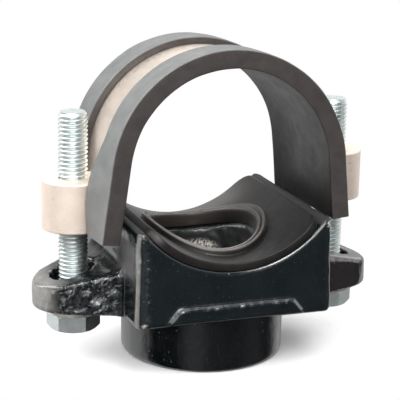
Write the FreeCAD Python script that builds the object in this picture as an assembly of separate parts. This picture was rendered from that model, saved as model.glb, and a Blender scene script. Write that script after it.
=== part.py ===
import FreeCAD, Part
import math
import os

from FreeCAD import Vector

# Strap-type branch saddle for a pipe of about 89 mm outside diameter, in millimetres.
# X runs from the left bolt to the right bolt, Y along the pipe, Z up.
# The origin is the centre of the outlet's lower face, which the part stands on.

# Pipe seat and rubber gasket
pipe_r = 44.5
seat_bottom_z = 44.7
gasket_t = 3.3
gasket_clear = 0.05
gasket_setback = 1.2
gasket_end_deg = 50.0
gasket_corner_r = 8.0
gasket_hole_x = 21.8
gasket_hole_y = 25.8
lip_height = 2.6
lip_width = 3.6
lip_edge_r = 0.6
lip_groove = 0.9
seat_r = pipe_r + gasket_t
pipe_z = seat_bottom_z + seat_r

# Saddle casting
horn_inset = 2.9
half_x = pipe_r - horn_inset
half_y = 40.8
gasket_half_y = half_y - gasket_setback
base_z = 24.0
horn_drop = 29.5
horn_z = pipe_z - horn_drop
draft_deg = 1.3
corner_r = 3.5
base_edge_r = 2.2
horn_edge_r = 1.2
seat_edge_r = 0.9
pad_depth = 1.4
pad_height = 7.0
pad_top_half = 24.0
pad_base_half = 28.5
pad_corner_r = 2.5
pad_edge_r = 0.7
wall_t = 6.0
pocket_corner_r = 4.0

# Outlet
boss_r = 34.0
boss_edge_r = 2.2
boss_root_r = 3.0
boss_sunk = 12.0
outlet_r = 22.4
outlet_depth = 30.0
outlet_chamfer = 1.5
throat_r = 20.5

# Strap, a steel band lying in the groove of a rubber liner, loose on the bolts
liner_grip = 2.5
liner_r = pipe_r - liner_grip
liner_web_t = 3.0
liner_rim_t = 7.5
liner_half_y = 30.5
groove_half_y = 13.7
liner_edge_r = 0.8
liner_mouth_chamfer = 1.2
band_t = 1.5
band_half_y = 13.0
band_clear = 0.05
band_short = 1.5
strap_x = 1.04
strap_drop = 12.26
strap_z = pipe_z - strap_drop
strap_lean_deg = 2.1
lean_drop = 28.2
leg_splay_deg = {"left": 8.5, "right": 4.6}
leg_length = {"left": 32.0, "right": 24.2}

# Bolts, washers and nut blocks, hanging a little to the right of the casting's centre
bolt_gap = 10.0
bolt_x = liner_r + liner_web_t + band_t + bolt_gap
hang_x = 0.6
bolt_r = 5.93
bolt_length = 82.5
bolt_tip_chamfer = 1.6
thread_clear = 0.07
head_flats = 19.0
head_height = 7.5
head_chamfer_deg = 30.0
head_turn_deg = {"left": -18.0, "right": -20.5}
washer_r = 12.0
washer_t = 2.5
washer_hole_r = 6.5
block_r = 12.6
block_height = 20.4
block_drop = {"left": 13.6, "right": 8.1}
block_edge_r = 0.6

# Ears that take the bolts
ear_shift = {"left": 0.0, "right": 0.8}
ear_tip_r = {"left": 16.2, "right": 16.3}
ear_root_half = 23.0
ear_root_depth = 10.0
ear_side_r = 9.0
ear_sweep_r = 7.0
ear_sunk = 1.2
ear_top_z = 38.9
ear_fall = 0.285
ear_edge_r = 2.0
ear_base_edge_r = 0.8
ear_hole_r = 9.0

os.makedirs("parts", exist_ok=True)


def rounded_wire(corners, place):
    """Closed wire through corners (u, v, radius); place turns u and v into a point in space."""
    count = len(corners)
    cuts = []
    for i in range(count):
        u, v, r = corners[i]
        here = Vector(u, v, 0)
        to_prev = Vector(corners[i - 1][0] - u, corners[i - 1][1] - v, 0).normalize()
        to_next = Vector(corners[(i + 1) % count][0] - u, corners[(i + 1) % count][1] - v, 0).normalize()
        if r == 0:
            cuts.append((here, None, here))
            continue
        half = to_prev.getAngle(to_next) / 2
        back = r / math.tan(half)
        centre = here + (to_prev + to_next).normalize() * (r / math.sin(half))
        middle = centre + (here - centre).normalize() * r
        cuts.append((here + to_prev * back, middle, here + to_next * back))
    edges = []
    for i in range(count):
        start, middle, end = cuts[i]
        following = cuts[(i + 1) % count][0]
        if middle is not None:
            arc = Part.Arc(place(start.x, start.y), place(middle.x, middle.y), place(end.x, end.y))
            edges.append(arc.toShape())
        if end.distanceToPoint(following) > 1e-6:
            edges.append(Part.LineSegment(place(end.x, end.y), place(following.x, following.y)).toShape())
    return Part.Wire(edges)


def prism_z(corners, low, high):
    """Plan outline in X and Y, raised from low to high."""
    face = Part.Face(rounded_wire(corners, lambda u, v: Vector(u, v, low)))
    return face.extrude(Vector(0, 0, high - low))


def prism_y(corners, near, far):
    """Front outline in X and Z, drawn along the pipe."""
    face = Part.Face(rounded_wire(corners, lambda u, v: Vector(u, near, v)))
    return face.extrude(Vector(0, far - near, 0))


def prism_x(corners, near, far):
    """Side outline in Y and Z, drawn across the pipe."""
    face = Part.Face(rounded_wire(corners, lambda u, v: Vector(near, u, v)))
    return face.extrude(Vector(far - near, 0, 0))


def pipe_cylinder(radius, half_length):
    """Cylinder on the pipe's axis."""
    return Part.makeCylinder(radius, 2 * half_length, Vector(0, -half_length, pipe_z), Vector(0, 1, 0))


def mirrored(shape, normal):
    return shape.mirror(Vector(0, 0, 0), normal)


def edges_where(shape, test):
    return [edge for edge in shape.Edges if test(edge)]


def turned(corners):
    """Solid of revolution about Z from an outline in radius and height."""
    face = Part.Face(rounded_wire(corners, lambda u, v: Vector(u, 0, v)))
    return face.revolve(Vector(0, 0, 0), Vector(0, 0, 1), 360)


def save(name, shape):
    solid = shape.removeSplitter()
    if len(solid.Solids) == 1:
        solid = solid.Solids[0]
    solid.exportStep("parts/" + name + ".step")


# Block of the casting, with its cast corners
def make_block():
    def drafted(half):
        inset = (horn_z - base_z) * math.tan(math.radians(draft_deg))
        top = half - inset
        return [(-half, base_z, 0), (half, base_z, 0), (top, horn_z, 0), (-top, horn_z, 0)]

    block = prism_y(drafted(half_x), -half_y - 1, half_y + 1)
    block = block.common(prism_x(drafted(half_y), -half_x - 1, half_x + 1))
    upright = edges_where(block, lambda e: e.BoundBox.ZLength > 1)
    block = block.makeFillet(corner_r, upright)
    underside = edges_where(block, lambda e: e.BoundBox.ZMax < base_z + 0.01)
    block = block.makeFillet(base_edge_r, underside)
    top = edges_where(block, lambda e: e.BoundBox.ZMin > horn_z - 0.01)
    return block.makeFillet(horn_edge_r, top)


# Low raised pad on the foot of the front face
def make_pad():
    low = base_z + base_edge_r * 0.6
    outline = [
        (-pad_base_half, low, 0),
        (pad_base_half, low, 0),
        (pad_top_half, base_z + pad_height, pad_corner_r),
        (-pad_top_half, base_z + pad_height, pad_corner_r),
    ]
    pad = prism_y(outline, -half_y - pad_depth, -half_y + 4)
    rim = edges_where(pad, lambda e: e.BoundBox.YMax < -half_y - pad_depth + 0.01)
    return pad.makeFillet(pad_edge_r, rim)


# Ear on the +X side: a sloping side view cut to a tapering plan, with sweeps into the block
def make_ear(name):
    hole_x = bolt_x + ear_shift[name]
    tip_r = ear_tip_r[name]
    tip = hole_x + tip_r
    inside = half_x - ear_root_depth
    root_x = half_x - ear_sunk
    top_at = lambda x: ear_top_z + ear_fall * (bolt_x - x)
    side_view = [
        (inside, base_z, 0),
        (tip + 5, base_z, 0),
        (tip + 5, top_at(tip + 5), 0),
        (root_x, top_at(root_x), ear_sweep_r),
        (root_x, horn_z - 6, 0),
        (inside, horn_z - 6, 0),
    ]
    root = Vector(root_x - hole_x, ear_root_half, 0)
    touch = math.atan2(root.y, root.x) - math.acos(tip_r / root.Length)
    slope = (math.sin(touch), -math.cos(touch))
    reach = (tip_r - root.x) / slope[0]
    tip_half = ear_root_half + reach * slope[1]
    side_y = ear_root_half + ear_side_r + 1
    plan = [
        (inside, -side_y, 0),
        (root_x, -side_y, 0),
        (root_x, -ear_root_half, ear_side_r),
        (tip, -tip_half, tip_r),
        (tip, tip_half, tip_r),
        (root_x, ear_root_half, ear_side_r),
        (root_x, side_y, 0),
        (inside, side_y, 0),
    ]
    ear = prism_y(side_view, -side_y, side_y).common(prism_z(plan, base_z, horn_z))
    over = lambda e: e.BoundBox.ZMin > top_at(tip) - 0.5 and e.BoundBox.XMin > half_x + ear_side_r
    ear = ear.makeFillet(ear_edge_r, edges_where(ear, over))
    under = lambda e: e.BoundBox.ZMax < base_z + 0.01 and e.BoundBox.XMin > half_x + ear_side_r
    return ear.makeFillet(ear_base_edge_r, edges_where(ear, under))


# Outlet boss, turned, with a rounded foot and a root that flares under the block
def make_boss():
    roof = base_z + boss_sunk
    return turned([
        (0, 0, 0),
        (boss_r, 0, boss_edge_r),
        (boss_r, base_z + base_edge_r, boss_root_r),
        (boss_r + boss_root_r + 1, base_z + base_edge_r, 0),
        (boss_r + boss_root_r + 1, roof, 0),
        (0, roof, 0),
    ])


# Cored pockets left under the four corners of the block
def make_pockets():
    half_u = half_x - wall_t
    half_v = half_y - wall_t
    outline = [
        (-half_u, -half_v, pocket_corner_r),
        (half_u, -half_v, pocket_corner_r),
        (half_u, half_v, pocket_corner_r),
        (-half_u, half_v, pocket_corner_r),
    ]
    core = prism_z(outline, base_z - 1, horn_z)
    core = core.cut(Part.makeCylinder(boss_r + boss_root_r, horn_z, Vector(0, 0, 0)))
    return core.cut(pipe_cylinder(seat_r + wall_t, half_y + 5))


def make_saddle_body():
    pad = make_pad()
    body = make_block().fuse([
        make_boss(),
        make_ear("right"),
        mirrored(make_ear("left"), Vector(1, 0, 0)),
        pad,
        mirrored(pad, Vector(0, 1, 0)),
    ]).removeSplitter()
    body = body.cut(pipe_cylinder(seat_r, half_y + 5))
    near_face = lambda e: abs(e.CenterOfMass.y) > half_y - 3 and e.BoundBox.YLength < 3
    on_seat = lambda e: all(abs(math.hypot(v.X, v.Z - pipe_z) - seat_r) < 0.01 for v in e.Vertexes)
    body = body.makeFillet(seat_edge_r, edges_where(body, lambda e: near_face(e) and on_seat(e)))
    body = body.cut(make_pockets())
    bore = turned([
        (0, -1, 0),
        (outlet_r + outlet_chamfer + 1, -1, 0),
        (outlet_r, outlet_chamfer, 0),
        (outlet_r, outlet_depth, 0),
        (throat_r, outlet_depth + outlet_r - throat_r, 0),
        (throat_r, horn_z, 0),
        (0, horn_z, 0),
    ])
    centres = (-bolt_x - ear_shift["left"], bolt_x + ear_shift["right"])
    holes = [Part.makeCylinder(ear_hole_r, horn_z, Vector(x, 0, 0)) for x in centres]
    return body.cut([bore] + holes)


def oval_cylinder(spread):
    """Upright cylinder of the gasket hole's oval, widened all round by spread."""
    oval = Part.Ellipse(Vector(0, 0, 0), gasket_hole_y + spread, gasket_hole_x + spread).toShape()
    oval.rotate(Vector(0, 0, 0), Vector(0, 0, 1), 90)
    return Part.Face(Part.Wire(oval)).extrude(Vector(0, 0, pipe_z))


# Gasket: a saddle-shaped sheet with a raised sealing ring round its oval hole
def make_gasket():
    end = math.radians(gasket_end_deg)
    outer = seat_r - gasket_clear
    on_ring = lambda r, a: Vector(r * math.sin(a), -gasket_half_y, pipe_z - r * math.cos(a))
    profile = Part.Wire([
        Part.Arc(on_ring(outer, -end), on_ring(outer, 0), on_ring(outer, end)).toShape(),
        Part.LineSegment(on_ring(outer, end), on_ring(pipe_r, end)).toShape(),
        Part.Arc(on_ring(pipe_r, end), on_ring(pipe_r, 0), on_ring(pipe_r, -end)).toShape(),
        Part.LineSegment(on_ring(pipe_r, -end), on_ring(outer, -end)).toShape(),
    ])
    sheet = Part.Face(profile).extrude(Vector(0, 2 * gasket_half_y, 0))
    low = pipe_z - seat_r - 5
    high = pipe_z - pipe_r * math.cos(end)
    side_view = [
        (-gasket_half_y, low, 0),
        (gasket_half_y, low, 0),
        (gasket_half_y, high, gasket_corner_r),
        (-gasket_half_y, high, gasket_corner_r),
    ]
    sheet = sheet.common(prism_x(side_view, -half_x, half_x))
    hole = oval_cylinder(0)
    crest_r = pipe_r - lip_height
    ring = oval_cylinder(lip_width).common(pipe_cylinder(outer, half_y)).cut(pipe_cylinder(crest_r, half_y))
    ring = ring.cut(hole)
    crest = lambda e: all(abs(math.hypot(v.X, v.Z - pipe_z) - crest_r) < 0.01 for v in e.Vertexes)
    across = lambda e: e.BoundBox.XLength > gasket_hole_x
    ring = ring.makeFillet(lip_edge_r, edges_where(ring, lambda e: crest(e) and across(e)))
    groove = oval_cylinder((lip_width + lip_groove) / 2).cut(oval_cylinder((lip_width - lip_groove) / 2))
    groove = groove.common(pipe_cylinder(crest_r + lip_groove, half_y))
    return sheet.cut(hole).fuse(ring.cut(groove))


def strap_section(inner_r, outer_r, longer):
    """Face between two parallel U curves: an arc and two splayed legs, each lengthened by longer."""
    centre = Vector(0, 0, strap_z)

    def leg(side, name, r):
        splay = math.radians(leg_splay_deg[name])
        top = centre + Vector(side * r * math.cos(splay), 0, r * math.sin(splay))
        down = Vector(side * math.sin(splay), 0, -math.cos(splay))
        return top, top + down * (leg_length[name] + longer)

    def rail(r):
        left_top, left_end = leg(-1, "left", r)
        right_top, right_end = leg(1, "right", r)
        return left_end, left_top, centre + Vector(0, 0, r), right_top, right_end

    a = rail(outer_r)
    b = rail(inner_r)
    wire = Part.Wire([
        Part.LineSegment(a[0], a[1]).toShape(),
        Part.Arc(a[1], a[2], a[3]).toShape(),
        Part.LineSegment(a[3], a[4]).toShape(),
        Part.LineSegment(a[4], b[4]).toShape(),
        Part.LineSegment(b[4], b[3]).toShape(),
        Part.Arc(b[3], b[2], b[1]).toShape(),
        Part.LineSegment(b[1], b[0]).toShape(),
        Part.LineSegment(b[0], a[0]).toShape(),
    ])
    return Part.Face(wire)


def strap_slab(inner_r, outer_r, near, far, longer=0):
    slab = strap_section(inner_r, outer_r, longer)
    slab.translate(Vector(0, near, 0))
    return slab.extrude(Vector(0, far - near, 0))


def hung(shape):
    """The strap as it hangs on the bolts, leaning back a little and off the casting's centre."""
    copy = shape.copy()
    copy.rotate(Vector(0, 0, strap_z - lean_drop), Vector(1, 0, 0), -strap_lean_deg)
    copy.translate(Vector(strap_x, 0, 0))
    return copy


# Liner: a rubber channel, its two rims standing up beside the band
def make_liner():
    web_r = liner_r + liner_web_t
    rim_r = liner_r + liner_rim_t
    away = lambda v: math.hypot(v.X, v.Z - strap_z)
    along = lambda e, r: e.BoundBox.YLength < 0.01 and any(abs(away(v) - r) < 0.01 for v in e.Vertexes)
    web = strap_slab(liner_r, web_r, -liner_half_y, liner_half_y)
    web = web.makeChamfer(liner_mouth_chamfer, edges_where(web, lambda e: along(e, liner_r)))
    rims = []
    for near, far in ((-liner_half_y, -groove_half_y), (groove_half_y, liner_half_y)):
        rim = strap_slab(web_r - 1, rim_r, near, far)
        rims.append(rim.makeFillet(liner_edge_r, edges_where(rim, lambda e: along(e, rim_r))))
    return hung(web.fuse(rims))


def make_band():
    inner = liner_r + liner_web_t + band_clear
    return hung(strap_slab(inner, inner + band_t, -band_half_y, band_half_y, -band_short))


# Nut block: a round bar with its inner side cut to the band's leg, and a hole for the bolt
def make_nut_block(side, name):
    low = strap_z - block_drop[name] - block_height / 2
    block = turned([
        (0, low, 0),
        (block_r, low, block_edge_r),
        (block_r, low + block_height, block_edge_r),
        (0, low + block_height, 0),
    ])
    axis = Vector(hang_x + side * bolt_x, 0, 0)
    block.translate(axis)
    face_r = liner_r + liner_web_t + band_clear + band_t
    block = block.cut(hung(strap_slab(1, face_r, -2 * block_r, 2 * block_r, block_height)))
    return block.cut(Part.makeCylinder(bolt_r + thread_clear, 2 * low, axis))


# Bolt, head down, with a hexagon head chamfered on its outer face
def make_bolt(side, name):
    under_head = base_z - washer_t
    tip = under_head + bolt_length
    shank = turned([
        (0, under_head - 1, 0),
        (bolt_r, under_head - 1, 0),
        (bolt_r, tip - bolt_tip_chamfer, 0),
        (bolt_r - bolt_tip_chamfer * 0.6, tip, 0),
        (0, tip, 0),
    ])
    corner = head_flats / 2 / math.cos(math.radians(30))
    turn = math.radians(head_turn_deg[name])
    points = [(corner * math.cos(turn + k * math.pi / 3), corner * math.sin(turn + k * math.pi / 3), 0) for k in range(6)]
    head = prism_z(points, under_head - head_height, under_head)
    rise = (corner - head_flats * 0.48) * math.tan(math.radians(head_chamfer_deg))
    head = head.common(turned([
        (0, under_head - head_height, 0),
        (head_flats * 0.48, under_head - head_height, 0),
        (corner, under_head - head_height + rise, 0),
        (corner, under_head, 0),
        (0, under_head, 0),
    ]))
    bolt = shank.fuse(head)
    bolt.translate(Vector(hang_x + side * bolt_x, 0, 0))
    return bolt


def make_washer(side):
    low = base_z - washer_t
    washer = turned([
        (washer_hole_r, low, 0),
        (washer_r, low, 0.4),
        (washer_r, base_z, 0.4),
        (washer_hole_r, base_z, 0),
    ])
    washer.translate(Vector(hang_x + side * bolt_x, 0, 0))
    return washer


save("saddle_body", make_saddle_body())
save("saddle_gasket", make_gasket())
save("strap_liner", make_liner())
save("strap_band", make_band())
for side, name in ((-1, "left"), (1, "right")):
    save(name + "_nut_block", make_nut_block(side, name))
    save(name + "_bolt", make_bolt(side, name))
    save(name + "_washer", make_washer(side))
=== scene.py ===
import math

import bmesh
import bpy
import numpy as np
from mathutils import Matrix, Vector, noise


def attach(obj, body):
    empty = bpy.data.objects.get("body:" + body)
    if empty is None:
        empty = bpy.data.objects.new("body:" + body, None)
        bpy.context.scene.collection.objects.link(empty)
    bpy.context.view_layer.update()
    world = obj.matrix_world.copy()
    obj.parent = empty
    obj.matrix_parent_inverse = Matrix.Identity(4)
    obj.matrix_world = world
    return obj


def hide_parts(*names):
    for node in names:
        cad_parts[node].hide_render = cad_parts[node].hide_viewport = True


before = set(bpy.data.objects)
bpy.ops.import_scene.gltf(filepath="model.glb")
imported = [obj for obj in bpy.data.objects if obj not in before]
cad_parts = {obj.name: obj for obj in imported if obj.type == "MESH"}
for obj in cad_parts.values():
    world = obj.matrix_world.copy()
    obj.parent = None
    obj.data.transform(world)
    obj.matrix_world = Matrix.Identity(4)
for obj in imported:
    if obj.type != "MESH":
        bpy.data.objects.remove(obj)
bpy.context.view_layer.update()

MM = 0.001

# Sizes shared with the part, in millimetres
PIPE_R = 44.5
PIPE_Z = 92.5
GASKET_T = 3.25
GASKET_HALF_Y = 39.6
GASKET_CORNER_R = 8.0
GASKET_END = math.radians(50)
LIP_HEIGHT = 2.6
LIP_END = 4.3
HOLE_X = 21.8
HOLE_Y = 25.8
HANG_X = 0.6
BOLT_X = 56.5
BOLT_TOP_Z = 104.0
THREAD_PITCH = 1.75
THREAD_CREST_R = 5.93
THREAD_ROOT_R = 4.98
TIP_R = 4.97
HEAD_FLATS = 19.0
HEAD_HEIGHT = 7.5
HEAD_CHAMFER = math.radians(30)
UNDER_HEAD_Z = 21.5
LINER_R = 42.0
WEB_R = 45.0
RIM_R = 49.5
LINER_HALF_Y = 30.5
GROOVE_HALF_Y = 13.7
BAND_R = 45.05
BAND_T = 1.5
BAND_HALF_Y = 13
BAND_SHORT = 1.5  # how far the band's ends stay above the liner's
STRAP_X = 1.04
STRAP_Z = 80.24
LEAN_PIVOT_Z = STRAP_Z - 28.2
STRAP_LEAN = math.radians(2.1)
SPLAY = {"left": math.radians(8.5), "right": math.radians(4.6)}
LEG = {"left": 32.0, "right": 24.7}

# Places on the casting, in millimetres
SEAT_EDGE_R = 48.15
THROAT_R = 24.0
FRONT_BEAD_Z = 30.6
CORNER_BEAD_X = 36.8
LEFT_EDGE_CENTRE = (-37.4, -36.6)
LEFT_EDGE_R = 4.2

# Sizes and seeds of the noise that shapes the casting, the gasket and the liner
COARSE, MEDIUM, BROAD, BEAD_LINE = (4.2, 1), (2.2, 2), (12.0, 3), (9.0, 11)
GASKET_WAVE, GASKET_RIPPLE = (9.0, 5), (3.0, 6)
LINER_WAVE, LINER_RIPPLE = (16.0, 7), (5.0, 8)


# ---------- mesh helpers ----------

def rounded_loop(corners):
    """Closed loop of points through corners (u, v, radius)."""
    points = []
    count = len(corners)
    steps = 4
    for i in range(count):
        u, v, r = corners[i]
        here = np.array((u, v))
        prev = np.array(corners[i - 1][:2]) - here
        following = np.array(corners[(i + 1) % count][:2]) - here
        prev = prev / np.linalg.norm(prev)
        following = following / np.linalg.norm(following)
        if r == 0:
            points.append(here)
            continue
        half = math.acos(np.clip(prev @ following, -1, 1)) / 2
        middle = (prev + following) / np.linalg.norm(prev + following)
        centre = here + middle * r / math.sin(half)
        start = here + prev * r / math.tan(half) - centre
        end = here + following * r / math.tan(half) - centre
        for k in range(steps + 1):
            arm = start * (1 - k / steps) + end * (k / steps)
            points.append(centre + arm * r / np.linalg.norm(arm))
    return np.array(points)


def split_long(loop, longest):
    """The loop with points added on its long sides."""
    points = []
    for a, b in zip(loop, np.roll(loop, -1, axis=0)):
        n = max(1, int(math.ceil(np.linalg.norm(b - a) / longest)))
        points += [a + (b - a) * k / n for k in range(n)]
    return np.array(points)


def grid_faces(rows, columns, close_rows):
    """Faces between rows of points; each row is a closed loop, and the rows close too where asked."""
    faces = []
    for i in range(rows if close_rows else rows - 1):
        for j in range(columns):
            k = (i + 1) % rows
            m = (j + 1) % columns
            faces.append((i * columns + j, i * columns + m, k * columns + m, k * columns + j))
    return faces


def make_object(name, points, faces, sharp_deg=40):
    """Mesh object from points in millimetres."""
    mesh = bpy.data.meshes.new(name)
    mesh.from_pydata((np.asarray(points) * MM).tolist(), [], faces)
    form = bmesh.new()
    form.from_mesh(mesh)
    bmesh.ops.remove_doubles(form, verts=form.verts, dist=1e-7)
    bmesh.ops.dissolve_degenerate(form, edges=form.edges, dist=1e-7)
    bmesh.ops.recalc_face_normals(form, faces=form.faces)
    form.to_mesh(mesh)
    form.free()
    mesh.shade_smooth()
    mesh.set_sharp_from_angle(angle=math.radians(sharp_deg))
    piece = bpy.data.objects.new(name, mesh)
    bpy.context.scene.collection.objects.link(piece)
    return piece


def read_points(mesh):
    """The mesh's points in millimetres."""
    flat = np.empty(len(mesh.vertices) * 3)
    mesh.vertices.foreach_get("co", flat)
    return flat.reshape(-1, 3) * 1000


def read_normals(mesh):
    flat = np.empty(len(mesh.vertices) * 3)
    mesh.vertex_normals.foreach_get("vector", flat)
    return flat.reshape(-1, 3)


def write_points(mesh, points_mm):
    mesh.vertices.foreach_set("co", (points_mm * MM).ravel())


def noise_at(points_mm, scale_mm, seed):
    shift = Vector((seed * 13.7, seed * 5.1, seed * 9.3))
    return np.array([noise.noise(Vector(p) / scale_mm + shift) for p in points_mm])


def smooth_step(value, low, high):
    t = np.clip((value - low) / (high - low), 0, 1)
    return t * t * (3 - 2 * t)


def fade_out(value, low, high):
    return 1 - smooth_step(value, low, high)


def store(mesh, name, values):
    layer = mesh.attributes.new(name, "FLOAT", "POINT")
    layer.data.foreach_set("value", np.asarray(values, dtype=np.float32))


# ---------- material helpers ----------

class Finish:
    """Node material around one Principled shader, in object coordinates (metres)."""

    def __init__(self, name):
        self.material = bpy.data.materials.new(name)
        self.material.use_nodes = True
        self.tree = self.material.node_tree
        self.tree.nodes.clear()
        output = self.node("ShaderNodeOutputMaterial")
        self.shader = self.node("ShaderNodeBsdfPrincipled")
        self.link(self.shader.outputs[0], output.inputs[0])
        self.coords = self.node("ShaderNodeTexCoord").outputs["Object"]

    def node(self, kind):
        return self.tree.nodes.new(kind)

    def link(self, a, b):
        self.tree.links.new(a, b)

    def feed(self, target, value):
        """Links a socket to the target, or sets a plain number on it."""
        if hasattr(value, "links"):
            self.link(value, target)
        else:
            target.default_value = value

    def set(self, socket, value):
        self.feed(self.shader.inputs[socket], value)

    def axes(self):
        parts = self.node("ShaderNodeSeparateXYZ")
        self.link(self.coords, parts.inputs[0])
        return parts.outputs

    def turned(self, angle):
        """Object coordinates turned about Y."""
        mapping = self.node("ShaderNodeMapping")
        mapping.inputs["Rotation"].default_value = (0, angle, 0)
        self.link(self.coords, mapping.inputs["Vector"])
        return mapping.outputs[0]

    def stretched(self, sx, sy, sz, coords=None):
        mapping = self.node("ShaderNodeMapping")
        mapping.inputs["Scale"].default_value = (sx, sy, sz)
        self.link(coords or self.coords, mapping.inputs["Vector"])
        return mapping.outputs[0]

    def noise(self, size_mm, detail=3.0, rough=0.5, distortion=0.0, coords=None):
        """Noise from 0 to 1, its largest lumps about size_mm apart."""
        n = self.node("ShaderNodeTexNoise")
        n.inputs["Scale"].default_value = 1000.0 / size_mm
        n.inputs["Detail"].default_value = detail
        n.inputs["Roughness"].default_value = rough
        n.inputs["Distortion"].default_value = distortion
        self.link(coords or self.coords, n.inputs["Vector"])
        return n.outputs["Fac"]

    def voronoi(self, size_mm):
        n = self.node("ShaderNodeTexVoronoi")
        n.inputs["Scale"].default_value = 1000.0 / size_mm
        self.link(self.coords, n.inputs["Vector"])
        return n.outputs["Distance"]

    def ramp(self, value, *stops):
        """Colour ramp through stops (place, grey or colour)."""
        n = self.node("ShaderNodeValToRGB")
        while len(n.color_ramp.elements) < len(stops):
            n.color_ramp.elements.new(0.5)
        for element, (place, colour) in zip(n.color_ramp.elements, stops):
            channels = tuple(colour) if hasattr(colour, "__len__") else (colour,) * 3
            element.position = place
            element.color = channels + (1,)
        self.link(value, n.inputs[0])
        return n.outputs[0]

    def spread(self, value, low, high, out_low, out_high):
        """The value's way from low to high, as a number from out_low to out_high."""
        n = self.node("ShaderNodeMapRange")
        for socket, number in (
            ("From Min", low), ("From Max", high), ("To Min", out_low), ("To Max", out_high),
        ):
            n.inputs[socket].default_value = number
        self.link(value, n.inputs["Value"])
        return n.outputs[0]

    def mix(self, factor, a, b):
        n = self.node("ShaderNodeMix")
        n.data_type = "RGBA"
        self.feed(n.inputs[0], factor)
        for socket, value in ((6, a), (7, b)):
            self.feed(n.inputs[socket], value if hasattr(value, "links") else tuple(value) + (1,))
        return n.outputs[2]

    def math(self, kind, a, b=0.0):
        n = self.node("ShaderNodeMath")
        n.operation = kind
        self.feed(n.inputs[0], a)
        self.feed(n.inputs[1], b)
        return n.outputs[0]

    def times(self, a, b):
        return self.math("MULTIPLY", a, b)

    def attribute(self, name):
        n = self.node("ShaderNodeAttribute")
        n.attribute_name = name
        return n.outputs["Fac"]

    def bump(self, height, depth_mm, strength=1.0, under=None):
        """Bumps up to depth_mm high, laid over the bumps under them."""
        n = self.node("ShaderNodeBump")
        n.inputs["Strength"].default_value = strength
        n.inputs["Distance"].default_value = depth_mm * MM
        self.link(height, n.inputs["Height"])
        if under is not None:
            self.link(under, n.inputs["Normal"])
        return n.outputs[0]


def pale_edge_lines(f, x, y, z):
    """Pale lines: a painted highlight along the right half of the seat's front edge, and a pale line down
    the right front edge.
    """
    rise = f.math("SUBTRACT", z, PIPE_Z * MM)
    reach = f.math("SQRT", f.math("ADD", f.times(x, x), f.times(rise, rise)))
    off_edge = f.math("ABSOLUTE", f.math("SUBTRACT", reach, SEAT_EDGE_R * MM))
    on_right = f.spread(x, 0.002, 0.014, 0.0, 1.0)
    in_front = f.spread(y, -0.0402, -0.0398, 1.0, 0.0)
    arc = f.times(f.spread(off_edge, 0.0001, 0.0004, 1.0, 0.0), f.times(on_right, in_front))
    upright = f.spread(f.math("SUBTRACT", x, y), 0.0813, 0.0816, 0.0, 0.55)
    patchy = f.ramp(f.noise(5, 4, 0.7), (0.25, 0.4), (0.5, 1.0))
    return f.times(f.math("MAXIMUM", arc, upright), patchy)


def paint_finish():
    """Black paint on cast iron, with specks, pale spots and lines, painted highlights, a painted glint and
    painted reflections, and lumps under it.
    """
    f = Finish("black_paint")
    x, y, z = f.axes()
    cast = f.attribute("cast")
    fine = f.noise(0.9, 4, 0.7)

    broad = f.noise(14, 3)
    base = f.ramp(broad, (0.3, (0.0015, 0.0026, 0.0032)), (0.7, (0.0032, 0.0042, 0.0046)))
    front_base = f.ramp(broad, (0.3, (0.0034, 0.0062, 0.0076)), (0.7, (0.0062, 0.0088, 0.0102)))
    fronts = f.times(f.spread(y, -0.0385, -0.04, 0.0, 1.0), f.spread(z, 0.024, 0.026, 0.0, 1.0))
    base = f.mix(fronts, base, front_base)
    specks = f.ramp(fine, (0.62, 0.0), (0.7, 1.0))
    base = f.mix(f.times(specks, 0.5), base, (0.05, 0.058, 0.06))
    base = f.mix(f.spread(x, 0.0425, 0.046, 0.0, 1.0), base, (0.011, 0.0088, 0.0088))
    # Painted highlights: pale blue-grey blotches on the left ear's lumpy sides, strongest near its root
    painted_highlight_blotch = f.times(cast, f.ramp(f.noise(3.4, 5, 0.7), (0.47, 0.0), (0.66, 1.0)))
    base = f.mix(f.times(painted_highlight_blotch, f.spread(x, -0.064, -0.05, 0.2, 0.5)), base, (0.1, 0.112, 0.116))
    # Painted reflection: pale grey on the places of the tip attribute
    painted_reflection = f.times(f.attribute("tip"), f.ramp(f.noise(7, 5, 0.65), (0.2, 0.45), (0.8, 1.0)))
    base = f.mix(painted_reflection, base, (0.22, 0.216, 0.206))
    # Pale spots, two of them a painted highlight and a painted glint
    pale_marks = f.times(f.attribute("pale_spots"), f.ramp(fine, (0.42, 0.0), (0.56, 1.0)))
    # Cream colour for the pale spots and lines, most of it painted highlight and glint
    pale_marks_and_lines = f.math("MAXIMUM", pale_marks, pale_edge_lines(f, x, y, z))
    f.set("Base Color", f.mix(pale_marks_and_lines, base, (0.7, 0.655, 0.6)))

    f.set("Specular IOR Level", 0.9)
    gloss = f.ramp(f.noise(5, 4, 0.6), (0.3, 0.1), (0.7, 0.22))
    dull = f.math("MAXIMUM", f.times(f.attribute("dull"), 0.8), f.times(painted_reflection, 0.4))
    f.set("Roughness", f.math("MAXIMUM", gloss, dull))

    skin = f.times(cast, f.noise(4.6, 1.9, 0.5, 0.7, f.stretched(0.62, 1, 1, f.turned(0.6))))
    lumps = f.bump(f.noise(2.6, 3, 0.55, 0.4), 0.25, 0.35, f.bump(skin, 2.2, 1.0))
    grain = f.bump(f.noise(0.7, 3, 0.6), 0.02, 0.6, lumps)
    pits = f.ramp(f.voronoi(2.6), (0.0, 0.0), (0.14, 1.0))
    f.set("Normal", f.bump(pits, 0.2, 0.6, grain))
    return f.material


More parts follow.
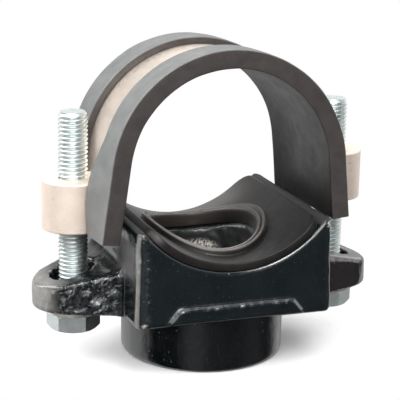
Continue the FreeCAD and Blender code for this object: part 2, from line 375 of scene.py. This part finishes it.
def gasket_finish():
    """Black rubber, with a painted sheen at the back, painted shade on the right, painted light on its
    hole's wall and a painted highlight on its ring's crest.
    """
    f = Finish("gasket_rubber")
    crest = f.attribute("crest")
    x, y, _ = f.axes()
    base = f.ramp(f.noise(9, 5, 0.6), (0.3, (0.0065, 0.0052, 0.005)), (0.7, (0.0135, 0.0108, 0.0102)))
    # Painted sheen: paler towards the back, on the left
    painted_back_sheen = f.times(f.spread(y, 0.016, 0.036, 0.0, 1.0), f.spread(x, 0.024, 0.035, 1.0, 0.0))
    base = f.mix(painted_back_sheen, base, (0.085, 0.08, 0.075))
    # Painted shade: darker on the right, midway along its length; it is rougher there too
    painted_right_shade = f.times(f.spread(x, 0.006, 0.02, 0.0, 1.0), f.spread(y, 0.012, 0.03, 1.0, 0.0))
    base = f.mix(f.times(painted_right_shade, 0.85), base, (0.0012, 0.0008, 0.0008))
    # Painted light: the hole's wall paler, most on the left
    painted_light_wall = f.times(f.attribute("wall"), f.spread(x, -0.006, 0.016, 1.0, 0.25))
    base = f.mix(painted_light_wall, base, (0.045, 0.034, 0.03))
    # Painted highlight on the ring's crest, strongest on the left and at the front
    pale_marks = f.math("ADD", f.spread(x, 0.004, 0.02, 0.6, 0.22), f.spread(y, -0.014, -0.024, 0.0, 0.35))
    f.set("Base Color", f.mix(f.times(crest, pale_marks), base, (0.19, 0.175, 0.165)))
    dull = f.ramp(f.noise(4, 4, 0.6), (0.3, 0.34), (0.7, 0.48))
    dull = f.math("ADD", dull, f.times(painted_right_shade, 0.14))
    f.set("Roughness", f.math("SUBTRACT", dull, f.times(crest, 0.14)))
    f.set("Specular IOR Level", 0.38)
    f.set("Sheen Weight", 0.08)
    f.set("Sheen Roughness", 0.35)
    soft = f.bump(f.noise(1.3, 4, 0.6), 0.05, 0.5)
    f.set("Normal", f.bump(f.noise(0.25, 2), 0.01, 0.5, soft))
    return f.material


def liner_finish():
    """Dark rubber, paler on its outward faces, with painted shade on its inner side, which is also duller
    at the back.
    """
    f = Finish("liner_rubber")
    inner = f.attribute("inner")
    cloudy = f.noise(6, 5, 0.65)
    base = f.ramp(cloudy, (0.3, (0.032, 0.0275, 0.0265)), (0.7, (0.047, 0.041, 0.039)))
    # Painted shade for the liner's inner side
    inside = f.ramp(cloudy, (0.3, (0.006, 0.0052, 0.005)), (0.7, (0.011, 0.0095, 0.009)))
    # Paler colour on the outward faces
    outward_pale = f.ramp(f.noise(8, 5, 0.65), (0.3, (0.1, 0.104, 0.103)), (0.7, (0.145, 0.15, 0.148)))
    base = f.mix(inner, base, inside)
    base = f.mix(f.attribute("outer"), base, outward_pale)
    marks = f.ramp(f.noise(1.5, 5, 0.75, 0.5), (0.6, 0.0), (0.78, 1.0))
    dust = f.ramp(f.noise(11, 3, 0.6), (0.45, 0.0), (0.75, 0.45))
    f.set("Base Color", f.mix(f.times(marks, dust), base, (0.16, 0.14, 0.13)))
    gloss = f.ramp(f.noise(5, 4, 0.6), (0.3, 0.3), (0.7, 0.42))
    duller = f.spread(f.axes()["Y"], 0.002, 0.024, 0.09, 0.5)
    f.set("Roughness", f.math("ADD", gloss, f.times(inner, duller)))
    f.set("Specular IOR Level", 0.35)
    soft = f.bump(f.noise(0.9, 5, 0.65), 0.05, 0.6)
    f.set("Normal", f.bump(f.noise(0.22, 2), 0.012, 0.6, soft))
    return f.material


def band_finish():
    f = Finish("stainless_band")
    lines = f.noise(0.35, 4, 0.6, 0.0, f.stretched(1, 0.05, 1))
    f.set("Base Color", f.ramp(f.noise(8, 4), (0.3, (0.94, 0.81, 0.7)), (0.7, (0.98, 0.87, 0.77))))
    f.set("Metallic", 1.0)
    f.set("Roughness", f.ramp(lines, (0.3, 0.28), (0.7, 0.42)))
    f.set("Normal", f.bump(lines, 0.015, 0.4))
    return f.material


def block_finish():
    f = Finish("turned_steel")
    turning = f.noise(0.3, 3, 0.6, 0.0, f.stretched(0.12, 0.12, 1))
    long_noise = f.noise(1.2, 3, 0.6, 0.3, f.stretched(0.35, 0.35, 1.6))
    scratch = f.ramp(long_noise, (0.64, 0.0), (0.7, 1.0))
    base = f.ramp(f.noise(7, 4, 0.6), (0.3, (0.86, 0.745, 0.655)), (0.7, (0.93, 0.83, 0.74)))
    f.set("Base Color", f.mix(f.times(scratch, 0.45), base, (0.5, 0.42, 0.37)))
    f.set("Metallic", 1.0)
    f.set("Roughness", f.ramp(turning, (0.3, 0.55), (0.7, 0.7)))
    f.set("Normal", f.bump(turning, 0.02, 0.4))
    return f.material


def zinc_finish(name, low, high):
    f = Finish(name)
    f.set("Base Color", f.ramp(f.noise(4, 4, 0.6), (0.3, low), (0.7, high)))
    f.set("Metallic", 1.0)
    f.set("Roughness", f.ramp(f.noise(1.5, 4, 0.6), (0.3, 0.32), (0.7, 0.48)))
    f.set("Normal", f.bump(f.noise(0.5, 3, 0.6), 0.015, 0.5))
    return f.material


PAINT = paint_finish()
GASKET = gasket_finish()
LINER = liner_finish()
BAND = band_finish()
BLOCK = block_finish()
ZINC = zinc_finish("zinc_plate", (0.54, 0.6, 0.6), (0.67, 0.71, 0.7))
PALE_ZINC = zinc_finish("washer_zinc", (0.84, 0.82, 0.76), (0.93, 0.91, 0.86))


def dress(piece, material):
    piece.data.materials.clear()
    piece.data.materials.append(material)


def place_piece(piece, material, body, node):
    dress(piece, material)
    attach(piece, body)
    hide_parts(node)


# ---------- saddle casting ----------

def remeshed(node, name):
    """The node's own mesh in even faces, softened a little, as a new object."""
    piece = bpy.data.objects.new(name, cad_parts[node].data.copy())
    bpy.context.scene.collection.objects.link(piece)
    remesh = piece.modifiers.new("remesh", "REMESH")
    remesh.mode = "VOXEL"
    remesh.voxel_size = 0.95 * MM
    smooth = piece.modifiers.new("smooth", "SMOOTH")
    smooth.factor = 0.5
    smooth.iterations = 2
    graph = bpy.context.evaluated_depsgraph_get()
    mesh = bpy.data.meshes.new_from_object(piece.evaluated_get(graph))
    piece.modifiers.clear()
    piece.data = mesh
    return piece


def cast_body():
    """The casting with its lumps and beads, and the attributes that its paint reads."""
    piece = remeshed("saddle_body", "cast_saddle")
    mesh = piece.data
    p = read_points(mesh)
    n = read_normals(mesh)
    x, y, z = p.T  # views, so they follow p when it changes
    nx, ny, nz = n.T
    on_left = x < 0

    # How far each place may move: not on the seat, in the outlet, at the foot or under the ears
    radius = np.hypot(x, y)
    beyond = smooth_step(np.abs(x), 41.5, 44.0)
    sideways = smooth_step(np.abs(ny), 0.35, 0.8)
    corner = smooth_step(np.abs(x), 37.5, 40.0) * smooth_step(np.abs(y), 36.5, 39.0)
    seat = fade_out(np.hypot(x, z - PIPE_Z), 47.9, 49.6)
    bored = fade_out(radius, 22.6, THROAT_R)
    foot = fade_out(z, 0.1, 1.0)
    under = smooth_step(-nz, 0.3, 0.7) * beyond
    throat = smooth_step(THROAT_R - radius, 0.5, 2.0) * smooth_step(z, 29.0, 32.0)
    calm = np.maximum(np.clip(1 - seat - bored - foot - under, 0, 1), throat)

    # Lumps, the bead along the top of the front pad, and the beads beside the left front edge
    medium = noise_at(p, *MEDIUM)
    broad = noise_at(p, *BROAD)
    rough = 0.045 + np.where(on_left, 0.55, 0.2) * beyond * sideways + 0.12 * corner + 0.3 * throat
    lift = (noise_at(p, *COARSE) * 1.2 + medium * 0.8) * rough + broad * 0.12
    bead = np.abs(z - FRONT_BEAD_Z - 0.4 * noise_at(p, *BEAD_LINE)) / 1.3
    pad = fade_out(bead, 0.3, 1.0) * smooth_step(-y, 40.9, 41.6) * fade_out(np.abs(x), 23, 25)
    lift += pad * (0.55 + 0.5 * medium)
    corner_line = np.exp(-((np.abs(x) - CORNER_BEAD_X) / 1.0) ** 2)
    corner_line *= smooth_step(-y, 39.8, 40.4) * on_left
    lift += corner_line * (0.4 + 0.35 * np.cos(z * 2.3 + 2 * broad) + 0.3 * medium)
    p += n * (np.clip(lift, -0.8, 0.7) * calm)[:, None]

    # Rounder left front edge
    centre = np.array(LEFT_EDGE_CENTRE)
    arm = p[:, :2] - centre
    far = np.hypot(arm[:, 0], arm[:, 1])
    edge = (arm[:, 0] < 0) & (arm[:, 1] < 0) & (far > LEFT_EDGE_R) & (x > -42.5) & (y > -41.8)
    p[edge, :2] = centre + arm[edge] * (LEFT_EDGE_R / far[edge])[:, None]
    write_points(mesh, p)

    # Pale spots: one at the front's top right corner, a painted highlight at its bottom left corner, and a
    # painted glint down in the throat
    pale_spots = np.zeros(len(p))
    for spot, reach, flat in (
        ((-38.5, -40.5, 25.8), 1.4, 1.0), ((39.5, -39.8, 61), 2.0, 1.0), ((5.4, 19.4, 37.6), 5.9, 0.55),
    ):
        away = np.linalg.norm((p - np.array(spot)) * (flat, flat, 1.6), axis=1)
        pale_spots = np.maximum(pale_spots, fade_out(away, reach * 0.4, reach))
    store(mesh, "pale_spots", pale_spots)
    store(mesh, "cast", 0.4 * corner_line + beyond * sideways * fade_out(-x, 62, 68) * on_left)

    # Painted reflection and painted light, in pale grey: left ear's end, left front edge, throat, near part
    # of the left side, right ear's top
    facing = np.maximum(smooth_step(-nx, 0.45, 0.85), 0.85 * smooth_step(nz, 0.5, 0.9))
    tip = smooth_step(-x, 60, 70) * smooth_step(z, 22, 27) * facing
    strip = smooth_step(-ny, 0.2, 0.36) * fade_out(-ny, 0.66, 0.82) * smooth_step(-nx, 0.4, 0.6)
    strip *= 0.8 * smooth_step(-x, 39.0, 40.0) * smooth_step(-y, 35.0, 36.5) * fade_out(-x, 42.4, 43)
    wall = 0.07 * throat * fade_out(nz, 0.3, 0.6) * smooth_step(z, 36, 39)
    leftward = smooth_step(-nx, 0.6, 0.9)
    near_side = leftward * smooth_step(z, 38, 46) * fade_out(z, 54, 58)
    near_side *= 0.42 * smooth_step(-y, 14, 26) * fade_out(-y, 37, 39.5) * smooth_step(-x, 39, 40)
    right_top = np.maximum(smooth_step(nz, 0.5, 0.9), smooth_step(nx, 0.8, 0.95))
    right_top *= 0.8 * smooth_step(x, 44, 47)
    store(mesh, "tip", np.maximum.reduce((tip, strip, wall, near_side, right_top)))

    # Dull places: tops of the horns, left side, throat
    horns = smooth_step(z, 60.0, 61.5) * smooth_step(nz, 0.3, 0.7)
    flank = leftward * smooth_step(z, 40, 46) * fade_out(np.abs(y), 33, 36)
    flank *= (0.15 + 0.85 * smooth_step(-y, 6, 18)) * fade_out(z, 55, 59)
    store(mesh, "dull", np.maximum.reduce((horns, 0.6 * flank, 0.5 * throat)))
    mesh.shade_smooth()
    place_piece(piece, PAINT, "saddle", "saddle_body")


# ---------- gasket ----------

def outline_reach(dx, dy, half_u, half_v, r):
    """Where a ray from the middle meets a rounded rectangle."""
    size = math.hypot(dx, dy)
    dx, dy = dx / size, dy / size
    t = min(half_u / max(abs(dx), 1e-9), half_v / max(abs(dy), 1e-9))
    u, v = abs(dx) * t, abs(dy) * t
    if u > half_u - r and v > half_v - r:
        cu, cv = half_u - r, half_v - r
        a = abs(dx) * cu + abs(dy) * cv
        t = a + math.sqrt(max(a * a - cu * cu - cv * cv + r * r, 0))
    return np.array((dx * t, dy * t))


def on_pipe(at, r):
    """Point at arc length at[0] (on the pipe's radius) and length at[1], at radius r."""
    turn = at[0] / PIPE_R
    return np.array((r * math.sin(turn), at[1], PIPE_Z - r * math.cos(turn)))


def under_pipe(x, y, r):
    """Point straight below (x, y) at radius r."""
    return np.array((x, y, PIPE_Z - math.sqrt(r * r - x * x)))


def above_pipe(p):
    """How far points stand inside the pipe's surface, measured upright."""
    return p[:, 2] - (PIPE_Z - np.sqrt(np.maximum(PIPE_R ** 2 - p[:, 0] ** 2, 0)))


def gasket_row(turn):
    """Closed section of the gasket at one place around its hole: ring, sheet, edge and underside."""
    inner = PIPE_R
    outer = PIPE_R + GASKET_T
    crest = inner - LIP_HEIGHT
    lip = [
        (0.0, outer - 0.4), (0.0, crest + 1.2), (0.12, crest + 0.45), (0.45, crest + 0.08),
        (0.9, crest), (1.2, crest + 0.12), (1.45, crest + 0.55), (1.75, crest + 0.8),
        (2.1, crest + 0.6), (2.35, crest + 0.15), (2.7, crest), (3.1, crest + 0.08),
        (3.42, crest + 0.4), (3.6, crest + 1.0), (3.66, crest + 1.9), (3.85, inner - 0.12),
        (LIP_END, inner),
    ]
    rim = [
        (0.5, inner), (0.15, inner + 0.12), (0.0, inner + 0.5), (0.0, outer - 0.5),
        (0.12, outer - 0.12), (0.5, outer),
    ]
    c, s = math.cos(turn), math.sin(turn)
    row = [under_pipe((HOLE_X + spread) * c, (HOLE_Y + spread) * s, r) for spread, r in lip]
    start = np.array((inner * math.asin((HOLE_X + LIP_END) * c / inner), (HOLE_Y + LIP_END) * s))
    way_u, way_v = c * HOLE_X * 1.7, s * HOLE_Y * 1.5
    end = outline_reach(way_u, way_v, inner * GASKET_END, GASKET_HALF_Y, GASKET_CORNER_R)
    row += [on_pipe(start + (end - start) * (k / 12), inner) for k in range(1, 12)]
    way = end / np.linalg.norm(end)
    row += [on_pipe(end - way * inset, r) for inset, r in rim]
    low = np.array((inner * math.asin((HOLE_X + 0.4) * c / outer), (HOLE_Y + 0.4) * s))
    row += [on_pipe(end + (low - end) * (k / 5), outer) for k in range(1, 6)]
    return row


def rubber_gasket():
    count = 192
    rows = np.array([gasket_row(2 * math.pi * i / count) for i in range(count)])
    faces = grid_faces(count, rows.shape[1], close_rows=True)
    piece = make_object("rubber_gasket", rows.reshape(-1, 3), faces, sharp_deg=60)
    mesh = piece.data
    p = read_points(mesh)
    inside = smooth_step(above_pipe(p), -0.6, -0.2)
    wave = noise_at(p, *GASKET_WAVE) * 0.14 + noise_at(p, *GASKET_RIPPLE) * 0.05
    p += read_normals(mesh) * (np.minimum(wave, 0.05) * inside)[:, None]
    store(mesh, "crest", smooth_step(above_pipe(p), 2.05, 2.55))
    store(mesh, "wall", fade_out(np.hypot(p[:, 0] / HOLE_X, p[:, 1] / HOLE_Y), 1.001, 1.006))
    write_points(mesh, p)
    place_piece(piece, GASKET, "saddle", "saddle_gasket")


# ---------- strap ----------

def strap_stations(shorter, leg_steps):
    """Middle point, outward direction and place down the leg along the strap's curve, left end first."""
    arc_steps = 120
    centre = np.array((0, 0, STRAP_Z))
    legs = {}
    for side, name in ((-1, "left"), (1, "right")):
        turn = SPLAY[name]
        out = np.array((side * math.cos(turn), 0, math.sin(turn)))
        down = np.array((side * math.sin(turn), 0, -math.cos(turn)))
        length = LEG[name] - shorter
        legs[name] = [(centre + down * (length - up), out, length - up) for up in leg_steps(length)]
    first, last = math.pi - SPLAY["left"], SPLAY["right"]
    arc = []
    for k in range(arc_steps + 1):
        turn = first + (last - first) * k / arc_steps
        above = min(first - turn, turn - last) * RIM_R
        arc.append((centre, np.array((math.cos(turn), 0, math.sin(turn))), -above))
    return legs["left"] + arc + legs["right"][::-1]


def hang(points):
    """The strap's own lean and shift."""
    p = np.asarray(points, dtype=float)
    lean = np.array(Matrix.Rotation(-STRAP_LEAN, 3, "X"))
    pivot = np.array((0, 0, LEAN_PIVOT_Z))
    return (p - pivot) @ lean.T + pivot + np.array((STRAP_X, 0, 0))


def swept(name, loop, shorter, mouth, push=None):
    """Closed outline (radius, y) carried along the strap's curve, its inner corners cut at both ends."""
    def leg_steps(length):
        return [0.0, mouth * 0.5, mouth] + [mouth + (length - mouth) * k / 14 for k in range(1, 14)]

    stations = strap_stations(shorter, leg_steps)
    rows = []
    last = len(stations) - 1
    low = loop[:, 0].min()
    for i, (middle, out, down) in enumerate(stations):
        from_end = min(i, last - i)
        cut = {0: mouth, 1: mouth * 0.5}.get(from_end, 0.0)
        r = np.maximum(loop[:, 0], low + cut)
        if push is not None:
            r = r + push(r, loop[:, 1], down)
        rows.append(middle + np.outer(r, out) + np.outer(loop[:, 1], (0, 1, 0)))
    points = hang(np.array(rows).reshape(-1, 3))
    width = len(loop)
    faces = grid_faces(len(rows), width, close_rows=False)
    faces.append(tuple(range(width)))
    faces.append(tuple(range(last * width + width - 1, last * width - 1, -1)))
    return make_object(name, points, faces, sharp_deg=50)


def rim_flare(r, y, down):
    """How far the liner's rims are pushed outwards where the nut blocks press on the legs."""
    along = 4.2 * smooth_step(down, -10, 12) * (1 - 0.75 * smooth_step(down, 15, 36))
    across = np.clip((LINER_HALF_Y - np.abs(y)) / (LINER_HALF_Y - GROOVE_HALF_Y), 0, 1) ** 1.3
    return along * across * np.clip((r - WEB_R + 1) / (RIM_R - WEB_R + 1), 0, 1)


def rubber_liner():
    half, groove = LINER_HALF_Y, GROOVE_HALF_Y
    loop = rounded_loop([
        (LINER_R, -half, 0.5), (RIM_R, -half, 0.7), (RIM_R, -groove, 0.8), (WEB_R, -groove, 0),
        (WEB_R, groove, 0), (RIM_R, groove, 0.8), (RIM_R, half, 0.7), (LINER_R, half, 0.5),
    ])
    piece = swept("rubber_liner", split_long(loop, 2.2), shorter=0.0, mouth=0.5, push=rim_flare)
    mesh = piece.data
    p = read_points(mesh)
    n = read_normals(mesh)
    wave = noise_at(p, *LINER_WAVE) * 0.22 + noise_at(p, *LINER_RIPPLE) * 0.06
    clear_of_band = fade_out(15.5 - np.abs(p[:, 1] - 1.5), 0, 1.2)
    p += n * (np.minimum(wave, 0.08) * clear_of_band)[:, None]
    arm = p - np.array((STRAP_X, 0, STRAP_Z))
    arm[:, 1] = 0
    arm[:, 2] = np.maximum(arm[:, 2], 0)
    outward = (arm * n).sum(axis=1) / np.linalg.norm(arm, axis=1)
    store(mesh, "outer", smooth_step(outward, 0.45, 0.75))
    # inner: where the liner's inner side gets painted shade, fading out upwards
    store(mesh, "inner", smooth_step(-outward, 0.45, 0.75) * fade_out(p[:, 2], 62, 125))
    write_points(mesh, p)
    place_piece(piece, LINER, "strap", "strap_liner")


def steel_band():
    outer, half = BAND_R + BAND_T, BAND_HALF_Y
    loop = rounded_loop([
        (BAND_R, -half, 0.3), (outer, -half, 0.5), (outer, half, 0.5), (BAND_R, half, 0.3),
    ])
    piece = swept("steel_band", split_long(loop, 3.0), shorter=BAND_SHORT, mouth=0.01)
    place_piece(piece, BAND, "strap", "strap_band")


# ---------- bolts ----------

def threaded_bolt(side, name, turn_deg):
    """Shank with a real thread, with the head joined to it."""
    axis = np.array((HANG_X + side * BOLT_X, 0, 0))
    crest, root, pitch = THREAD_CREST_R, THREAD_ROOT_R, THREAD_PITCH
    low, high, chamfer = 21.0, BOLT_TOP_Z, 1.6
    around = 64
    shape = [
        (0.0, crest), (0.1, crest), (0.2, crest - 0.14), (0.46, root + 0.06), (0.56, root),
        (0.66, root + 0.06), (0.92, crest - 0.14),
    ]
    rows = int((high - low) / pitch) + 3
    ring = []
    for i in range(around):
        turn = 2 * math.pi * i / around
        column = []
        for row in range(-1, rows):
            for share, r in shape:
                z = min(max(low + (row + share + i / around) * pitch, low), high)
                r = min(r, crest - 0.6 * max(0.0, z - (high - chamfer)))
                column.append((r * math.cos(turn), r * math.sin(turn), z))
        ring.append(column)
    ring = np.array(ring)
    columns = ring.shape[1]
    faces = []
    for i in range(around):
        k = (i + 1) % around
        shift = len(shape) if k == 0 else 0
        for j in range(columns - 1 - shift):
            a, b = j + shift, j + 1 + shift
            faces.append((i * columns + j, k * columns + a, k * columns + b, i * columns + j + 1))
    shank = make_object(name, ring.reshape(-1, 3) + axis, faces, sharp_deg=70)
    join_head(shank, axis, math.radians(turn_deg))
    place_piece(shank, ZINC, name + "_body", name)
    shank.name = name + "_threaded"


def join_head(shank, axis, turn):
    """Hexagon head, chamfered on both faces, and the shank's flat tip."""
    half = HEAD_FLATS / 2
    under = UNDER_HEAD_Z
    low = under - HEAD_HEIGHT
    inner = HEAD_FLATS * 0.48
    rise = math.tan(HEAD_CHAMFER)
    around = 96
    form = bmesh.new()
    form.from_mesh(shank.data)

    def new_vertex(angle, r, z):
        at = axis + np.array((r * math.cos(angle), r * math.sin(angle), z))
        return form.verts.new((at * MM).tolist())

    def ring(radius_at, z_at):
        angles = [turn + 2 * math.pi * i / around for i in range(around)]
        return [new_vertex(angle, radius_at(angle), z_at(radius_at(angle))) for angle in angles]

    def hexagon(angle):
        return half / math.cos((angle - turn) % (math.pi / 3) - math.pi / 6)

    rings = [
        ring(lambda a: inner * 0.5, lambda r: low),
        ring(lambda a: inner - 0.4, lambda r: low),
        ring(lambda a: inner, lambda r: low + 0.06),
        ring(lambda a: hexagon(a) - 0.12, lambda r: low + (r - inner) * rise),
        ring(hexagon, lambda r: low + (r - inner) * rise + 0.12),
        ring(hexagon, lambda r: under - 0.15 - (r - half) * rise),
        ring(lambda a: hexagon(a) - 0.12, lambda r: under - (r - half) * rise),
        ring(lambda a: half - 0.3, lambda r: under - 0.02),
        ring(lambda a: 5.0, lambda r: under - 0.02),  # inside the shank
    ]
    for a, b in zip(rings, rings[1:]):
        for i in range(around):
            k = (i + 1) % around
            form.faces.new((a[i], a[k], b[k], b[i]))
    form.faces.new(rings[0][::-1])
    tip_z = BOLT_TOP_Z - 0.01
    form.faces.new([new_vertex(2 * math.pi * i / around, TIP_R, tip_z) for i in range(around)])
    bmesh.ops.recalc_face_normals(form, faces=form.faces)
    form.to_mesh(shank.data)
    form.free()
    shank.data.shade_smooth()
    shank.data.set_sharp_from_angle(angle=math.radians(28))


cast_body()
rubber_gasket()
rubber_liner()
steel_band()
threaded_bolt(-1, "left_bolt", -18.0)
threaded_bolt(1, "right_bolt", -20.5)
for side in ("left", "right"):
    dress(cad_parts[side + "_nut_block"], BLOCK)
    dress(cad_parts[side + "_washer"], PALE_ZINC)


# ---------- floor ----------

def floor_material():
    """Pale paper that fades out from 36 to 80 mm away, so that only the shadow's part of it shows."""
    material = bpy.data.materials.new("pale_floor")
    material.use_nodes = True
    tree = material.node_tree
    tree.nodes.clear()
    make = tree.nodes.new
    output = make("ShaderNodeOutputMaterial")
    paper = make("ShaderNodeBsdfDiffuse")
    paper.inputs["Color"].default_value = (0.9, 0.9, 0.9, 1)
    clear = make("ShaderNodeBsdfTransparent")
    mix = make("ShaderNodeMixShader")
    place = make("ShaderNodeNewGeometry")
    length = make("ShaderNodeVectorMath")
    length.operation = "LENGTH"
    fade = make("ShaderNodeMapRange")
    fade.interpolation_type = "SMOOTHERSTEP"
    for socket, number in (("From Min", 0.036), ("From Max", 0.08)):
        fade.inputs[socket].default_value = number
    tree.links.new(place.outputs["Position"], length.inputs[0])
    tree.links.new(length.outputs["Value"], fade.inputs["Value"])
    tree.links.new(fade.outputs[0], mix.inputs[0])
    tree.links.new(paper.outputs[0], mix.inputs[1])
    tree.links.new(clear.outputs[0], mix.inputs[2])
    tree.links.new(mix.outputs[0], output.inputs[0])
    return material


def pale_floor():
    rings = (60.0, 90.0, 120.0, 150.0, 200.0)
    around = 96
    points = [(0, 0, 0)]
    for r in rings:
        for i in range(around):
            turn = 2 * math.pi * i / around
            points.append((r * math.cos(turn), r * math.sin(turn), 0))
    faces = [(0, 1 + i, 1 + (i + 1) % around) for i in range(around)]
    for k in range(len(rings) - 1):
        for i in range(around):
            j = (i + 1) % around
            a, b = 1 + k * around, 1 + (k + 1) * around
            faces.append((a + i, b + i, b + j, a + j))
    floor = make_object("floor", points, faces)
    dress(floor, floor_material())
    floor.visible_glossy = False


pale_floor()


# ---------- light ----------

def softbox(name, azimuth_deg, elevation_deg, distance, size, power):
    """Area lamp that faces the object; azimuth 0 is in front, on the side of -Y, and grows to the right."""
    turn, rise = math.radians(azimuth_deg), math.radians(elevation_deg)
    way = Vector((math.sin(turn) * math.cos(rise), -math.cos(turn) * math.cos(rise), math.sin(rise)))
    lamp = bpy.data.lights.new(name, "AREA")
    lamp.shape = "RECTANGLE"
    lamp.size, lamp.size_y = size
    lamp.energy = power
    holder = bpy.data.objects.new(name, lamp)
    holder.location = Vector((0, 0, 0.06)) + way * distance
    holder.rotation_euler = (-way).to_track_quat("-Z", "Y").to_euler()
    holder.visible_camera = False
    bpy.context.scene.collection.objects.link(holder)


softbox("right_behind", 120, 20, 0.9, (0.6, 0.5), 1.0)
softbox("behind", 160, 50, 0.9, (0.6, 0.4), 1.6)
softbox("right_high", 60, 60, 0.9, (0.4, 0.4), 0.2)
softbox("right_low", 80, 8, 0.9, (0.5, 0.4), 0.9)
softbox("top", -10, 80, 0.8, (0.6, 0.5), 1.6)
softbox("left_high", -120, 50, 0.8, (0.6, 0.4), 3.9)
softbox("left_behind", -130, 25, 0.9, (0.4, 0.3), 2.1)
softbox("front", -20, 32, 0.8, (0.4, 0.3), 2.7)
softbox("front_low", -32, 14, 0.8, (0.45, 0.4), 0.6)
softbox("front_left", -60, 45, 0.8, (0.5, 0.4), 2.0)
softbox("left_low", -70, 5, 0.8, (0.5, 0.4), 1.3)
softbox("front_high", -8, 52, 0.8, (0.3, 0.3), 2.9)

# Studio walls of uneven brightness, low and high on the walls:
# twelve strengths around, from behind through the left, the front and the right
BELOW = (0.58, 1.02, 1.16, 0.0, 0.0, 0.28, 0.09, 0.05, 0.12, 0.04, 0.87, 0.22)
ABOVE = (0.74, 0.0, 0.0, 0.0, 0.06, 1.3, 1.3, 0.03, 0.68, 0.63, 0.0, 0.8)


def studio_world():
    """White for the camera, an even grey for soft light, and the uneven walls for reflections."""
    world = bpy.data.worlds.new("studio")
    bpy.context.scene.world = world
    world.use_nodes = True
    tree = world.node_tree
    tree.nodes.clear()
    make = tree.nodes.new
    join = tree.links.new

    def operation(kind, a, b):
        node = make("ShaderNodeMath")
        node.operation = kind
        join(a, node.inputs[0])
        if hasattr(b, "links"):
            join(b, node.inputs[1])
        else:
            node.inputs[1].default_value = b
        return node.outputs[0]

    def share(value, low, high, easing="LINEAR"):
        node = make("ShaderNodeMapRange")
        node.interpolation_type = easing
        for socket, number in (("From Min", low), ("From Max", high), ("To Min", 0), ("To Max", 1)):
            node.inputs[socket].default_value = number
        join(value, node.inputs["Value"])
        return node.outputs[0]

    def wall_ramp(strengths, place):
        node = make("ShaderNodeValToRGB")
        node.color_ramp.interpolation = "EASE"
        wrapped = strengths + strengths[:1]
        while len(node.color_ramp.elements) < len(wrapped):
            node.color_ramp.elements.new(0.5)
        for i, (element, strength) in enumerate(zip(node.color_ramp.elements, wrapped)):
            element.position = i / len(strengths)
            element.color = (strength, strength, strength, 1)
        join(place, node.inputs[0])
        return node.outputs[0]

    def background(strength):
        node = make("ShaderNodeBackground")
        node.inputs["Color"].default_value = (1, 1, 1, 1)
        node.inputs["Strength"].default_value = strength
        return node

    def mixed(factor, a, b):
        node = make("ShaderNodeMixShader")
        join(factor, node.inputs[0])
        join(a.outputs[0], node.inputs[1])
        join(b.outputs[0], node.inputs[2])
        return node

    parts = make("ShaderNodeSeparateXYZ")
    join(make("ShaderNodeTexCoord").outputs["Generated"], parts.inputs[0])
    to_right, to_back, upward = parts.outputs
    azimuth = operation("ARCTAN2", to_right, operation("MULTIPLY", to_back, -1))
    around = share(azimuth, -math.pi, math.pi)
    brightness = make("ShaderNodeMix")
    brightness.data_type = "RGBA"
    join(share(upward, -0.05, 0.15, "SMOOTHSTEP"), brightness.inputs[0])
    join(wall_ramp(BELOW, around), brightness.inputs[6])
    join(wall_ramp(ABOVE, around), brightness.inputs[7])
    walls = background(1.0)
    join(brightness.outputs[2], walls.inputs["Color"])

    path = make("ShaderNodeLightPath").outputs
    mirrored = operation("MAXIMUM", path["Is Glossy Ray"], path["Is Transmission Ray"])
    indirect = mixed(mirrored, background(0.71), walls)
    whole = mixed(path["Is Camera Ray"], indirect, background(1.0))
    join(whole.outputs[0], make("ShaderNodeOutputWorld").inputs[0])


studio_world()


# ---------- camera ----------

# The view of the photo: 400 pixels wide, with a focal length in pixels
PHOTO_WIDTH = 400
FOCAL_LENGTH = 1447
SENSOR_WIDTH = 36
DISTANCE = 0.6
TARGET = Vector((-0.00165, 0, 0.0636))
AZIMUTH, ELEVATION, ROLL = math.radians(-20.1), math.radians(15.2), math.radians(-1.2)


def photo_camera():
    level = math.cos(ELEVATION)
    back = Vector((math.sin(AZIMUTH) * level, -math.cos(AZIMUTH) * level, math.sin(ELEVATION)))
    right = Vector((math.cos(AZIMUTH), math.sin(AZIMUTH), 0))
    up = back.cross(right)
    side = right * math.cos(ROLL) - up * math.sin(ROLL)
    top = up * math.cos(ROLL) + right * math.sin(ROLL)
    camera = bpy.data.cameras.new("photo_view")
    camera.lens = FOCAL_LENGTH / PHOTO_WIDTH * SENSOR_WIDTH
    camera.sensor_width = SENSOR_WIDTH
    camera.clip_end = 10
    viewer = bpy.data.objects.new("photo_view", camera)
    viewer.matrix_world = Matrix((
        (side.x, top.x, back.x, TARGET.x + DISTANCE * back.x),
        (side.y, top.y, back.y, TARGET.y + DISTANCE * back.y),
        (side.z, top.z, back.z, TARGET.z + DISTANCE * back.z),
        (0, 0, 0, 1),
    ))
    bpy.context.scene.collection.objects.link(viewer)
    bpy.context.scene.camera = viewer


photo_camera()
bpy.context.scene.view_settings.view_transform = "Standard"
